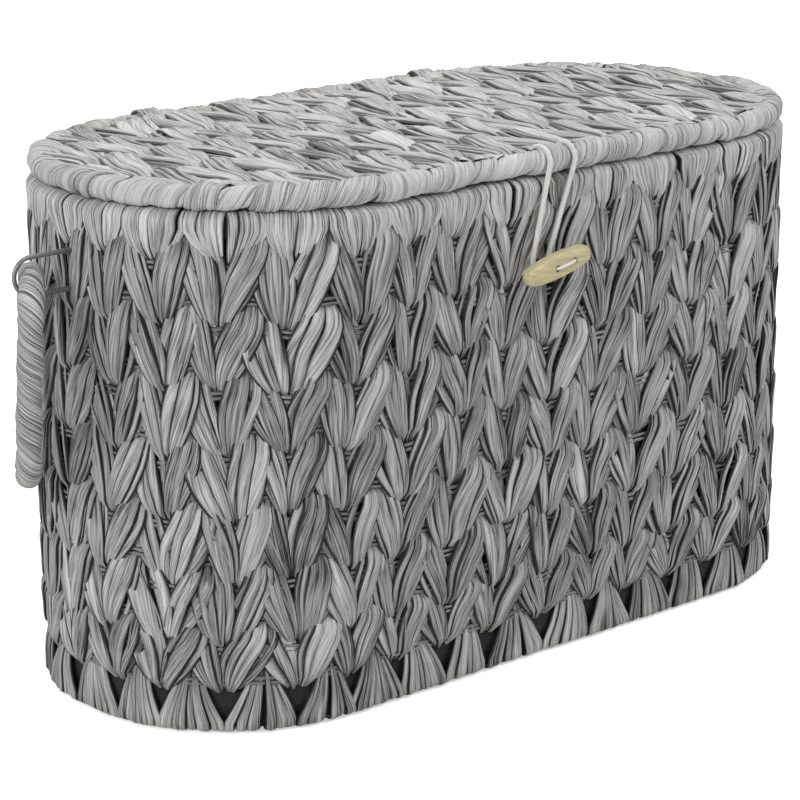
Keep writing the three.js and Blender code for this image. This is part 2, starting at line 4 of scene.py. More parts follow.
import bpy
import numpy as np
from mathutils import Matrix, Vector


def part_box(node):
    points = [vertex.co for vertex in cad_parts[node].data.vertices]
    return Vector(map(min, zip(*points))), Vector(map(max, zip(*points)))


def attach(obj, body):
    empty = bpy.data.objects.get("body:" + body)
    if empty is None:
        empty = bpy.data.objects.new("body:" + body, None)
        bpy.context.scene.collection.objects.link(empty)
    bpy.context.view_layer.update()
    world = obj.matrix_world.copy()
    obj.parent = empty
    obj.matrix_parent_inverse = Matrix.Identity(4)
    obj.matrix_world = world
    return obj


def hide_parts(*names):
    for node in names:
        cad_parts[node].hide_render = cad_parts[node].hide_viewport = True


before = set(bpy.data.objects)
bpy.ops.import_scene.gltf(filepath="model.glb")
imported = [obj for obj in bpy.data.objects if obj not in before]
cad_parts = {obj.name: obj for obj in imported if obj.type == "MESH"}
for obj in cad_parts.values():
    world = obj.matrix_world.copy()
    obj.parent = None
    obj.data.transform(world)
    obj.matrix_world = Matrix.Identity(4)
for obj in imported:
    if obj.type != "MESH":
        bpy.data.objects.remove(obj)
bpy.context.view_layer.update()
scene = bpy.context.scene

MM = 0.001
random = np.random.default_rng(34)


# Driving dimensions, in millimetres.
RIM_LENGTH, RIM_DEPTH, RIM_END_FLAT = 400.0, 214.3, 8.8
BASE_LENGTH, BASE_DEPTH, BASE_END_FLAT = 412.5, 183.0, 8.0
BASKET_HEIGHT = 236.5
WALL_THICKNESS = 13.6
RIM_CENTRE = BASKET_HEIGHT - 5.5
VEE_COUNT = 36
VEE_PHASE = -0.2
VEE_PITCH = 29.1
RUNG_PITCH = 14.4
TOP_RUNG = 211.8
SEAT_GAP = 0.3

LID_ROLL = 10.6
LID_LEVEL = BASKET_HEIGHT + SEAT_GAP + LID_ROLL / 2
LID_HALF_LENGTH, LID_HALF_DEPTH, LID_END_FLAT = 198.5, 108.65, 11.5
LID_ROLL_Y = LID_HALF_DEPTH - LID_ROLL / 2
LID_VEE_PITCH = 29.0
LID_RUNG_PITCH = 19.0

HANDLE_BAR = 11.3
HANDLE_WIDTH, HANDLE_HEIGHT, HANDLE_CORNER = 61.5, 97.0, 17.0
HANDLE_YAW = math.radians(31.4)
HANDLE_AXIS = (220.91, 0.0, 203.0)
HANDLE_FOOT_OUT = 2.265 + 3.4
HANDLE_LEAN = math.asin(HANDLE_FOOT_OUT / (HANDLE_HEIGHT - HANDLE_BAR))
RIBBON_PITCH, RIBBON_STARTS = 5.6, 4
EYELET_WIRE = 2.2
EYELET_PLAY = 3.2

TOGGLE_TILT = math.radians(11.5)
TOGGLE_LENGTH, TOGGLE_HEIGHT, TOGGLE_END = 39.0, 11.2, 7.2
TOGGLE_HOLES = (2.5 - 5.35, 2.5 + 5.35)
TOGGLE_HOLE_DIAMETER = 2.8
THREAD_STEM = 4.5
THREAD_DIAMETER = 1.7
LOOP_DIAMETER = 2.6


# Outlines.
class RoundedPath:
    """A rectangle with large round corners, walked anticlockwise from the front's middle."""

    def __init__(self, length, depth, end_flat):
        self.radius = (depth - end_flat) / 2
        straight = length - 2 * self.radius
        self.flat = end_flat
        self.depth = depth
        self.length = length
        quarter = math.pi / 2 * self.radius
        runs = [straight / 2, quarter, end_flat, quarter, straight,
                quarter, end_flat, quarter, straight / 2]
        self.starts = np.concatenate([[0], np.cumsum(runs)])
        self.total = self.starts[-1]

    def at(self, share):
        """Arrays x, y, nx, ny for an array of shares of the way round."""
        run = np.mod(np.asarray(share, float), 1.0) * self.total
        leg = np.clip(np.searchsorted(self.starts, run, side="right") - 1, 0, 8)
        left = run - self.starts[leg]
        end_x = self.length / 2 - self.radius
        end_y = self.flat / 2
        centre_x = end_x * np.array([0, 1, 1, 1, 1, -1, -1, -1, -1])[leg]
        centre_y = end_y * np.array([-1, -1, -1, 1, 1, 1, 1, -1, -1])[leg]
        start = np.array([-0.5, -0.5, 0, 0, 0.5, 0.5, 1, 1, 1.5])[leg] * math.pi
        curved = leg % 2 == 1
        angle = np.where(curved, start + left / self.radius, start)
        ahead = np.where(curved, 0, left)
        x = centre_x + self.radius * np.cos(angle) - ahead * np.sin(angle)
        y = centre_y + self.radius * np.sin(angle) + ahead * np.cos(angle)
        return x, y, np.cos(angle), np.sin(angle)


rim_path = RoundedPath(RIM_LENGTH, RIM_DEPTH, RIM_END_FLAT)
base_path = RoundedPath(BASE_LENGTH, BASE_DEPTH, BASE_END_FLAT)
lid_path = RoundedPath(2 * LID_HALF_LENGTH, 2 * LID_HALF_DEPTH, LID_END_FLAT)


def wall_point(share, z, out):
    """Points of the wall: share of the way round, height, distance out of the outer face."""
    share, z, out = np.broadcast_arrays(share, z, out)
    low = base_path.at(share)
    high = rim_path.at(share)
    rise = z / BASKET_HEIGHT
    x, y, nx, ny = [a + (b - a) * rise for a, b in zip(low, high)]
    size = np.hypot(nx, ny)
    return np.stack([x + out * nx / size, y + out * ny / size, z + 0.0], axis=-1)


def hand_laid(vee, height):
    """Places of the wall moved a little, as rows laid by hand wander."""
    turn = 2 * math.pi * np.asarray(vee) / VEE_COUNT
    height = np.asarray(height)
    loose = np.sin(math.pi * np.clip(height / RIM_CENTRE, 0, 1))
    aside = 0.10 * np.sin(7 * turn + height / 31) + 0.06 * np.sin(13 * turn - height / 19 + 1.3)
    up = 1.5 * np.sin(9 * turn + height / 40 + 0.5) + 1.0 * np.sin(16 * turn - height / 23)
    return vee + aside, height + up * loose


def wall_map(vee, height, out):
    """The wall with its places counted in vees."""
    vee, height = hand_laid(vee, height)
    return wall_point((vee + VEE_PHASE) / VEE_COUNT, height, out)


def inner_wall_map(vee, height, out):
    """The wall's inner face, seen from inside."""
    vee, height = hand_laid(-np.asarray(vee), height)
    return wall_point((vee + VEE_PHASE) / VEE_COUNT, height, -WALL_THICKNESS - np.asarray(out))


def lid_point(share, z, out):
    """Points of the lid: share of the way round, height, distance out of its edge."""
    share, z, out = np.broadcast_arrays(share, z, out)
    x, y, nx, ny = lid_path.at(share)
    return np.stack([x + out * nx, y + out * ny, z + 0.0], axis=-1)


def level_map(level, face, pitch):
    """A level sheet whose vees are counted along X: face is 1 for an upper side, -1 for a lower."""
    def place(vee, height, out):
        vee, height, out = np.broadcast_arrays(vee, height, out)
        aside = 1.8 * np.sin(height / 21 + 1.1 * vee) + 1.1 * np.sin(2.3 * vee - height / 13)
        along = 1.6 * np.sin(1.3 * vee + height / 37 + 0.4)
        return np.stack([(vee * pitch + aside) * face, height + along, level + face * out], axis=-1)
    return place


# Meshes.
UV_PER_MM = 0.1
PLAIN_TONE = 0.5


def unit(vectors):
    return vectors / np.maximum(np.linalg.norm(vectors, axis=-1, keepdims=True), 1e-9)


def tangents(points, closed=False):
    if closed:
        return unit(np.roll(points, -1, axis=1) - np.roll(points, 1, axis=1))
    return unit(np.gradient(points, axis=1))


def smooth(u):
    u = np.clip(u, 0, 1)
    return u * u * (3 - 2 * u)


def circle(count):
    return 2 * math.pi * np.arange(count) / count


def run_length(points):
    """How far along a course each of its points lies."""
    return np.concatenate([[0], np.cumsum(np.linalg.norm(np.diff(points, axis=0), axis=1))])


def resample(points, count, endpoint=True):
    length = run_length(points)
    marks = np.linspace(0, length[-1], count, endpoint=endpoint)
    return np.stack([np.interp(marks, length, column) for column in points.T], axis=1)


def soften(points, times):
    points = points.copy()
    for _ in range(times):
        points[1:-1] = (points[:-2] + 2 * points[1:-1] + points[2:]) / 4
    return points


def tube_faces(length, sides, closed):
    """Faces and UV places of tubes, from how far along each its rings lie, with the end."""
    n, k = length.shape[0], length.shape[1] - 1
    spans = k if closed else k - 1
    tube, along, around = np.meshgrid(np.arange(n), np.arange(spans), np.arange(sides), indexing="ij")
    after = (along + 1) % k
    beside = (around + 1) % sides
    corners = ((along, around), (along, beside), (after, beside), (after, around))
    quads = np.stack([(tube * k + ring) * sides + turn for ring, turn in corners], axis=-1)
    u0, u1 = length[tube, along], length[tube, along + 1]
    v0, v1 = around / sides, (around + 1) / sides
    uvs = np.stack([np.stack(place, -1) for place in ((u0, v0), (u0, v1), (u1, v1), (u1, v0))], axis=-2)
    return quads.reshape(-1, 4), uvs.reshape(-1, 2) * [UV_PER_MM, 1.0]


def grid_object(name, points, quads, uvs, tones):
    mesh = bpy.data.meshes.new(name)
    mesh.vertices.add(len(points))
    mesh.vertices.foreach_set("co", np.asarray(points, np.float32).ravel())
    mesh.loops.add(quads.size)
    mesh.loops.foreach_set("vertex_index", np.asarray(quads, np.int32).ravel())
    mesh.polygons.add(len(quads))
    mesh.polygons.foreach_set("loop_start", np.arange(0, quads.size, 4, dtype=np.int32))
    mesh.update(calc_edges=True)
    mesh.polygons.foreach_set("use_smooth", np.ones(len(quads), dtype=bool))
    layer = mesh.uv_layers.new(name="UVMap")
    layer.data.foreach_set("uv", np.asarray(uvs, np.float32).ravel())
    tone = mesh.color_attributes.new(name="tone", type="FLOAT_COLOR", domain="POINT")
    colours = np.repeat(np.asarray(tones, dtype=np.float32)[:, None], 4, axis=1)
    colours[:, 3] = 1.0
    tone.data.foreach_set("color", colours.ravel())
    mesh.validate()
    piece = bpy.data.objects.new(name, mesh)
    scene.collection.objects.link(piece)
    return piece


class Strands:
    """Collects many tubes of the same kind into one mesh."""

    def __init__(self):
        self.points, self.quads, self.uvs, self.tones = [], [], [], []
        self.count = 0

    def add(self, centres, sideways, outward, tone, sides, closed=False):
        """Tubes from centres (n, k, 3) and the half axes of their cross-sections."""
        n, k, _ = centres.shape
        angles = circle(sides)
        rings = (centres[:, :, None] + sideways[:, :, None] * np.cos(angles)[:, None]
                 + outward[:, :, None] * np.sin(angles)[:, None])
        steps = np.linalg.norm(np.diff(centres, axis=1, append=centres[:, :1]), axis=-1)
        length = np.concatenate([np.zeros((n, 1)), np.cumsum(steps, axis=1)], axis=1)
        quads, uvs = tube_faces(length, sides, closed)
        self.points.append(rings.reshape(-1, 3))
        self.quads.append(self.count + quads)
        self.uvs.append(uvs)
        self.tones.append(np.repeat(np.broadcast_to(tone, (n,)), k * sides))
        self.count += n * k * sides

    def build(self, name):
        points = np.concatenate(self.points) * MM
        quads = np.concatenate(self.quads)
        return grid_object(name, points, quads, np.concatenate(self.uvs), np.concatenate(self.tones))


def surface_object(name, rings, closed=False):
    """A smooth skin over one tube's rings of points (k, sides, 3)."""
    k, sides, _ = rings.shape
    steps = np.linalg.norm(np.diff(rings, axis=0, append=rings[:1]), axis=-1).mean(axis=1)
    length = np.concatenate([[0], np.cumsum(steps)])
    quads, uvs = tube_faces(length[None], sides, closed)
    return grid_object(name, rings.reshape(-1, 3) * MM, quads, uvs, np.full(k * sides, PLAIN_TONE))


def ring_skin(name, profile, stations=272):
    """A closed ring of the wall from a profile of (out, z)."""
    share = np.arange(stations) / stations
    rings = np.stack([wall_point(share, z, out) for out, z in profile], axis=1)
    return surface_object(name, rings, closed=True)


def twisted_tube(points, radius, sides, ply, pitch, relief):
    """Rings of points round a course, with the ridges of a laid cord."""
    count = len(points)
    direction = unit(np.gradient(points, axis=0))
    normal = np.zeros((count, 3))
    start = np.cross(direction[0], (0.3, 0.9, 0.2))
    normal[0] = start / np.linalg.norm(start)
    for i in range(1, count):
        moved = normal[i - 1] - direction[i] * np.dot(normal[i - 1], direction[i])
        normal[i] = moved / np.linalg.norm(moved)
    beside = np.cross(direction, normal)
    angle = circle(sides)
    phase = angle * ply + 2 * np.pi * run_length(points)[:, None] / pitch * ply
    reach = radius - relief * (1 - np.abs(np.cos(phase / 2))) ** 1.5
    round_it = normal[:, None] * np.cos(angle)[:, None] + beside[:, None] * np.sin(angle)[:, None]
    return points[:, None] + reach[..., None] * round_it


def lay_ribbons(strands, place, a, h, n, half_width, half_thick, tilt, tone, sides):
    """Flat ribbons along (a, h, n) courses, each turned by its tilt about its own run."""
    centres = place(a, h, n)
    outward = unit(place(a, h, n + 1.0) - centres)
    sideways = unit(np.cross(tangents(centres), outward))
    turned = sideways * np.cos(tilt)[..., None] + outward * np.sin(tilt)[..., None]
    raised = outward * np.cos(tilt)[..., None] - sideways * np.sin(tilt)[..., None]
    strands.add(centres, turned * half_width[..., None], raised * half_thick[..., None], tone, sides)


def lay_kept(strands, place, courses, tone, sides, keep):
    """Ribbons from their (a, h, n, half width, half thickness, tilt), cut to what keep accepts."""
    if keep is None:
        lay_ribbons(strands, place, *courses, tone, sides)
        return
    for i, inside in enumerate(keep(place(*courses[:3]))):
        run = np.flatnonzero(inside)
        if len(run) >= 3:
            pick = (slice(i, i + 1), slice(run[0], run[-1] + 1))
            lay_ribbons(strands, place, *(course[pick] for course in courses), tone[i:i + 1], sides)


def wrap_ribbons(strands, place, a, h, n, step, half_width, half_thick, tone):
    """Flat ribbons that pass over an edge, with their width along it."""
    centres = place(a, h, n)
    edge = unit(place(a + step, h, n) - centres)
    outward = unit(np.cross(edge, tangents(centres)))
    sideways = unit(np.cross(outward, tangents(centres)))
    strands.add(centres, sideways * half_width, outward * half_thick, tone, 8)


def even_lanes(count):
    """Middles, from -1 to 1, of ribbons of one width that lie side by side."""
    return ((2 * np.arange(count) + 1) / count - 1)[:, None]


def uneven_lanes(count):
    """Middles, from -1 to 1, of ribbons of several widths, and each one's share of the width."""
    split = np.cumsum(random.uniform(0.7, 1.4, count))
    split = np.concatenate([[0], split / split[-1]])
    return (split[1:] + split[:-1])[:, None] - 1, np.diff(split)[:, None]


# The plait: leaves of flat ribbons that float over two weft cords and dive under a third.
# A course is (a, h, n): vees across, the height, and the distance out of the face.
LEAF_U = (-0.06, 0.0, 0.08, 0.18, 0.34, 0.56, 0.72, 0.86, 1.0, 1.12)
LEAF_WIDTH = (6.5, 9.0, 14.2, 16.8, 18.0, 17.2, 14.4, 10.4, 6.4, 5.0)
LEAF_FIRST, LEAF_LAST = -0.05, 1.12
LEAF_RUN = 3 * RUNG_PITCH
LEAF_HEAD, LEAF_DRIFT = 0.452, 0.375
LEAF_SKEW = 0.26
LEAF_CROWN = 2.5
LEAF_LEVEL, LEAF_DIVE = -0.80, 4.2
RIBBON_HALF_THICKNESS = 1.15
RIBBON_OVERLAP = 0.25
FIBRE_CHANCE, FIBRE_TONE = 0.55, 0.62
WEFT_SPACING, WEFT_HALF_WIDTH, WEFT_LEVEL = 1.15, 1.05, -2.7
WEFT_TONE = np.array([0.36])


def leaf_course(side, u, lane, width, pitch):
    """Place of a leaf's ribbons across the vee, and how deep the leaf's ends dive."""
    lean_over = 0.030 * np.exp(-((u - 0.26) / 0.16) ** 2) * (side > 0)
    centre = LEAF_HEAD - LEAF_DRIFT * (0.7 * np.clip(u, 0, 1) + 0.3 * smooth(u)) + lean_over
    dive = np.exp(-(np.maximum(u, 0) / 0.12) ** 2) + np.exp(-(np.maximum(1 - u, 0) / 0.10) ** 2)
    over = 0.75 * side * (1 - smooth((u - 0.2) / 0.4))
    crown = -LEAF_CROWN * np.abs(lane) ** 2.0
    level = LEAF_LEVEL - LEAF_DIVE * dive + over * (1 - dive) + crown
    return side * centre + lane * width / 2 / pitch, level


def leaf(side, row, vee, pitch, ribbons, steps, depth, broad):
    """One leaf's ribbons, some with a loose fibre on them: their courses and their tones."""
    top, bottom, first, last = row
    count = ribbons + random.integers(-1, 3)
    u = np.linspace(first, last, steps)[None, :]
    run = np.clip(u, 0, 1)
    bell = np.sin(np.pi * run)
    lane, own = uneven_lanes(count)
    full = np.interp(u, LEAF_U, LEAF_WIDTH) * broad * random.uniform(0.9, 1.1)

    def height(lane):
        return top + (bottom - top) * u - side * lane * full / 2 * LEAF_SKEW * bell

    stray = random.normal(0, 0.07, (count, 1))
    wander = stray * np.sin(np.pi * run * random.uniform(1, 2))
    a, n = leaf_course(side, u, lane + wander, full - 2.0, pitch)
    a = vee + a + random.normal(0, 0.5) * bell / pitch
    h = height(lane) + random.normal(0, 0.7)
    n = (n + random.normal(0, 0.30, (count, 1)) + random.normal(0, 0.25)) * depth
    half_width = own * full * random.uniform(0.53, 0.71, (count, 1)) + RIBBON_OVERLAP
    half_thick = np.full(a.shape, RIBBON_HALF_THICKNESS) * depth
    tilt = -0.40 * lane + random.normal(0, 0.15, (count, 1)) + 0 * u
    tone = random.normal(0.5, 0.09) + random.normal(0, 0.09, count)
    courses = (a, h, n, half_width, half_thick, tilt)
    if random.uniform() >= FIBRE_CHANCE:
        return courses, tone
    ends = random.uniform(-0.85, 0.85, 2)
    lane = ends[0] + (ends[1] - ends[0]) * u
    a, n = leaf_course(side, u, lane, full - 2.0, pitch)
    half_width, half_thick = np.full(u.shape, 0.55), np.full(u.shape, 0.6 * depth)
    fibre = (vee + a, height(lane), (n + 0.75) * depth, half_width, half_thick, 0 * u)
    return [np.concatenate(pair) for pair in zip(courses, fibre)], np.append(tone, FIBRE_TONE)


def plait(strands, place, pitch, vees, rows, ribbons, steps, sides, keep=None, depth=1.0, broad=1.0):
    """rows holds (top, bottom, first, last): the heights of a leaf's ends, and the part kept."""
    for side, row, vee in product((-1, 1), rows, vees):
        courses, tone = leaf(side, row, vee, pitch, ribbons, steps, depth, broad)
        lay_kept(strands, place, courses, tone, sides, keep)


def wefts(strands, place, levels, first, last, per_vee, sides, keep=None, depth=1.0):
    """Pairs of cords that cross under the floats and over the bundles' ends."""
    a = np.linspace(first, last, (last - first) * per_vee + 1)[None, :]
    turn = a * 2 * np.pi
    half = np.full(a.shape, WEFT_HALF_WIDTH)
    for level, offset in product(levels, (-WEFT_SPACING, WEFT_SPACING)):
        wobble = 0.35 * np.sin(turn / 3.7 + level) + 0.25 * np.sin(turn * 1.3 + 2 * level)
        n = (WEFT_LEVEL + 0.25 * np.sin(turn * 0.7 + level)) * depth
        courses = (a, level + offset + wobble, n, half, half * 0.95, 0 * a)
        lay_kept(strands, place, courses, WEFT_TONE, sides, keep)


# Materials.
def new_material(name):
    material = bpy.data.materials.new(name)
    material.use_nodes = True
    tree = material.node_tree
    return material, tree, tree.nodes["Principled BSDF"]


def feed(tree, fed, inputs):
    """Gives a node's inputs their values, or links them to the sockets named instead."""
    for name, value in inputs.items():
        if isinstance(value, bpy.types.NodeSocket):
            tree.links.new(value, fed.inputs[name])
        else:
            fed.inputs[name].default_value = value


def node(tree, kind, inputs, **settings):
    """A new shader node of that kind, as its outputs."""
    made = tree.nodes.new("ShaderNode" + kind)
    for key, value in settings.items():
        setattr(made, key, value)
    feed(tree, made, inputs)
    return made.outputs


def calculate(tree, operation, *values):
    return node(tree, "Math", dict(enumerate(values)), operation=operation)[0]


def combine(tree, x, y, z=0.0):
    return node(tree, "CombineXYZ", {"X": x, "Y": y, "Z": z})["Vector"]


def object_place(tree):
    return node(tree, "TexCoord", {})["Object"]


def tube_place(tree):
    """How far along its tube a place lies, and its share of the way round."""
    coords = node(tree, "UVMap", {}, uv_map="UVMap")["UV"]
    split = node(tree, "SeparateXYZ", {"Vector": coords})
    return split["X"], split["Y"]


def noise(tree, vector, scale, detail, distortion=0.0):
    inputs = {"Vector": vector, "Scale": scale, "Detail": detail, "Distortion": distortion}
    return node(tree, "TexNoise", inputs)["Fac"]


def map_range(tree, value, to_low, to_high, from_low=0.0, from_high=1.0):
    inputs = {"Value": value, "From Min": from_low, "From Max": from_high,
              "To Min": to_low, "To Max": to_high}
    return node(tree, "MapRange", inputs)["Result"]


def mapped(tree, vector, scale, turn=(0.0, 0.0, 0.0)):
    return node(tree, "Mapping", {"Vector": vector, "Scale": scale, "Rotation": turn})["Vector"]


def colour_ramp(tree, value, *stops):
    """Colours between stops of (position, colour)."""
    made = tree.nodes.new("ShaderNodeValToRGB")
    elements = made.color_ramp.elements
    for element, stop in zip(list(elements), (stops[0], stops[-1])):
        element.position, element.color = stop
    for position, tint in stops[1:-1]:
        elements.new(position).color = tint
    feed(tree, made, {"Fac": value})
    return made.outputs["Color"]


def bumped(tree, height, strength, distance):
    inputs = {"Height": height, "Strength": strength, "Distance": distance}
    return node(tree, "Bump", inputs)["Normal"]


def linear(value):
    value = value / 255
    return ((value + 0.055) / 1.055) ** 2.4 if value > 0.04045 else value / 12.92


def colour(red, green, blue):
    """A colour from its values of 0 to 255 in a picture."""
    return (linear(red), linear(green), linear(blue), 1.0)


def grey(level, warm=0.0):
    return colour(level + warm, level, level - 1.6 * warm)


WHITE = (1.0, 1.0, 1.0, 1.0)


def cord_material(name, dark, mid, pale, warm=1.0, relief=1.0, edge_shade=0.6):
    """Paper ribbon: fine lines along it, painted shade at its edges, its own tone and soft patches."""
    material, tree, shader = new_material(name)
    along, around = tube_place(tree)
    tone = node(tree, "VertexColor", {}, layer_name="tone")["Color"]
    skewed = calculate(tree, "MULTIPLY_ADD", along, 0.05, around)

    def times(first, second):
        return calculate(tree, "MULTIPLY", first, second)

    def streaks(lengthwise, crosswise, detail):
        place = combine(tree, times(along, lengthwise), times(skewed, crosswise), times(tone, 53.0))
        return noise(tree, place, 1.0, detail)

    def weighted(socket, weight, rest=0.5):
        """rest plus weight times how far the socket is above a half."""
        above = calculate(tree, "SUBTRACT", socket, 0.5)
        return calculate(tree, "MULTIPLY_ADD", above, weight, rest)

    fine = streaks(0.5, 30.0, 2.0)
    coarse = streaks(0.25, 8.0, 1.0)
    patch = noise(tree, object_place(tree), 40.0, 3.0)
    level = weighted(coarse, 0.6, weighted(fine, 1.6))
    level = weighted(patch, 0.5, weighted(tone, 0.8, level))
    # Painted shade: each ribbon darkens towards its two edges, where the grooves between ribbons fall in
    # shade.
    wave = calculate(tree, "COSINE", times(around, 2 * math.pi))
    edge_shade_mask = calculate(tree, "POWER", times(wave, wave), 3.0)
    level = calculate(tree, "MULTIPLY_ADD", edge_shade_mask, -edge_shade, level)
    stops = (0.05, grey(dark, warm)), (0.5, grey(mid, warm)), (0.95, grey(pale, warm))
    feed(tree, shader, {
        "Base Color": colour_ramp(tree, level, *stops),
        "Normal": bumped(tree, weighted(coarse, 0.9, weighted(fine, 1.0)), 1.0, 0.0012 * relief),
        "Roughness": map_range(tree, fine, 0.70, 0.95),
        "Specular IOR Level": 0.22,
    })
    return material


def plain_material(name, low, high, roughness, metallic=0.0, scale=400.0):
    """A fine mottled finish between two colours."""
    material, tree, shader = new_material(name)
    grain = noise(tree, object_place(tree), scale, 4.0)
    feed(tree, shader, {
        "Base Color": colour_ramp(tree, grain, (0.35, low), (0.65, high)),
        "Normal": bumped(tree, grain, 0.3, 0.0002),
        "Roughness": roughness,
        "Metallic": metallic,
    })
    return material


def wood_material(name):
    """Pale turned wood with its grain along the toggle."""
    material, tree, shader = new_material(name)
    place = mapped(tree, object_place(tree), (40.0, 420.0, 420.0), turn=(0.0, TOGGLE_TILT, 0.0))
    grain = noise(tree, place, 1.6, 6.0, distortion=0.6)
    stops = (0.30, colour(160, 150, 114)), (0.68, colour(188, 178, 142))
    feed(tree, shader, {
        "Base Color": colour_ramp(tree, grain, *stops),
        "Normal": bumped(tree, grain, 0.25, 0.0002),
        "Roughness": 0.65,
        "Specular IOR Level": 0.3,
    })
    return material


def handle_material(side):
    """Paper ribbons wound round a bar: fine lines that follow the winding, and painted shade in the
    grooves between windings.
    """
    material, tree, shader = new_material("handle_cord")
    along, around = tube_place(tree)
    turns = calculate(tree, "MULTIPLY", along, 1 / UV_PER_MM / RIBBON_PITCH)
    winding = calculate(tree, "MULTIPLY_ADD", around, side * RIBBON_STARTS, turns)
    fibres = noise(tree, mapped(tree, combine(tree, winding, around), (11.0, 1.2, 1.0)), 1.0, 3.0)
    # Painted shade: the grooves between windings are darkened to a quarter.
    groove_shade = (0.25, 0.25, 0.25, 1.0)
    within = calculate(tree, "FRACT", winding)
    groove_shade_ramp = colour_ramp(tree, within, (0.0, groove_shade), (0.10, WHITE), (0.90, WHITE), (1.0, groove_shade))
    lines = colour_ramp(tree, fibres, (0.36, grey(78, 1)), (0.60, grey(184, 1)))
    shade = {"Fac": 1.0, "Color1": lines, "Color2": groove_shade_ramp}
    feed(tree, shader, {
        "Base Color": node(tree, "MixRGB", shade, blend_type="MULTIPLY")["Color"],
        "Normal": bumped(tree, fibres, 0.8, 0.0008),
        "Roughness": 0.85,
        "Specular IOR Level": 0.25,
    })
    return material


wall_cord = cord_material("wall_cord", 46, 158, 204, edge_shade=0.95)
# The rim's cord is a paler copy of the wall's: painted light, where the rim faces up to the lamps.
rim_cord_painted_light = cord_material("rim_cord_painted_light", 62, 188, 222, edge_shade=0.8)
# The lid's cord is paler and less dark in its lows than the wall's: painted light from above on the lid.
lid_cord_painted_light = cord_material("lid_cord_painted_light", 110, 190, 208, edge_shade=0.5)
inside_cord = cord_material("inside_cord", 60, 146, 184)
# A dark sheet of painted shade: it stands for the shadow deep in the weave and shows only through the
# gaps.
shade_backing = plain_material("painted_shade_backing", grey(22), grey(40), 0.95, scale=500.0)
wire_paint = plain_material("wire_paint", grey(100), grey(122), 0.42, metallic=0.5, scale=900.0)
cotton = cord_material("cotton_cord", 178, 208, 226, warm=2.0, relief=0.3, edge_shade=0.0)
wood = wood_material("toggle_wood")


def finish_piece(piece, material, body, node_name):
    """A piece's material and body, and hides the solid that it stands for."""
    piece.data.materials.clear()
    piece.data.materials.append(material)
    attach(piece, body)
    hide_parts(node_name)


# The camera stands where the photograph was taken.
CAMERA_PLACE = (-0.81081, -0.96601, 0.46575)
CAMERA_AZIMUTH, CAMERA_DIP, CAMERA_ROLL = 0.689, 0.2776, -0.0145
CAMERA_LENS = 119.64


def add_camera():
    east, north = math.sin(CAMERA_AZIMUTH), math.cos(CAMERA_AZIMUTH)
    level = math.cos(CAMERA_DIP)
    forward = Vector((east * level, north * level, -math.sin(CAMERA_DIP)))
    right = Vector((north, -east, 0.0))
    up = right.cross(forward)
    turned_right = right * math.cos(CAMERA_ROLL) + up * math.sin(CAMERA_ROLL)
    turned_up = up * math.cos(CAMERA_ROLL) - right * math.sin(CAMERA_ROLL)
    data = bpy.data.cameras.new("photo_camera")
    data.lens = CAMERA_LENS
    data.sensor_width = 36.0
    data.clip_end = 20.0
    camera = bpy.data.objects.new("photo_camera", data)
    scene.collection.objects.link(camera)
    columns = Matrix((turned_right, turned_up, -forward)).transposed()
    camera.matrix_world = Matrix.Translation(CAMERA_PLACE) @ columns.to_4x4()
    scene.camera = camera


add_camera()


# Closure loop: one cord out of the lid, round behind the toggle and back.
LOOP_RADIUS = LOOP_DIAMETER / 2
LOOP_RIDE = LID_ROLL / 2 + SEAT_GAP + LOOP_RADIUS
LOOP_LID_X = (-17.3, -2.0)
LOOP_TURN = (-19.9, 198.2, 4.6)


def loop_level_y(z):
    return wall_point(0.0, z, 0.0)[1] - SEAT_GAP - LOOP_RADIUS


def loop_strand(lid_x, foot_x, foot_z):
    """Points from inside the lid over its border and down the wall."""
    points = [(lid_x, -LID_ROLL_Y + LOOP_RIDE, LID_LEVEL - 1.5)]
    for angle in np.linspace(0, math.pi, 9):
        y = -LID_ROLL_Y + LOOP_RIDE * math.cos(angle)
        points.append((lid_x, y, LID_LEVEL + LOOP_RIDE * math.sin(angle)))
    head = np.array(points[-1])
    foot = np.array((foot_x, loop_level_y(foot_z), foot_z))
    return points + [tuple(head + (foot - head) * share) for share in np.linspace(0, 1, 7)[1:]]


def loop_route():
    turn_x, turn_z, turn_radius = LOOP_TURN
    down = loop_strand(LOOP_LID_X[0], turn_x - turn_radius, turn_z)
    up = loop_strand(LOOP_LID_X[1], turn_x + turn_radius, turn_z)[::-1]
    turn = []
    for angle in np.linspace(math.pi, 2 * math.pi, 9)[1:-1]:
        z = turn_z + turn_radius * math.sin(angle)
        turn.append((turn_x + turn_radius * math.cos(angle), loop_level_y(z), z))
    return np.array(down + turn + up)


loop_points = soften(resample(loop_route(), 160), 3)
loop_rings = twisted_tube(loop_points, LOOP_RADIUS, sides=14, ply=3, pitch=7.5, relief=0.42)
closure = surface_object("closure_cord", loop_rings)
finish_piece(closure, cotton, "lid", "closure_loop")
loop_path = [tuple(point) for point in loop_points[::5] * MM]
loop_path.append(tuple(loop_points[-1] * MM))


# Wall: two skins of plait, each on a dark sheet of painted shade that shows only through its gaps.
BACKING_THICKNESS, BACKING_HEAD = 0.5, 228.0
FULL_ROWS, RUNGS, LAST_FOOT = 6, 14, 19.0


def wall_shade_backing(name, node_name, out, foot):
    inner = out - BACKING_THICKNESS
    profile = [(out, foot), (out, BACKING_HEAD), (inner, BACKING_HEAD), (inner, foot)]
    finish_piece(ring_skin(name, profile), shade_backing, "basket", node_name)


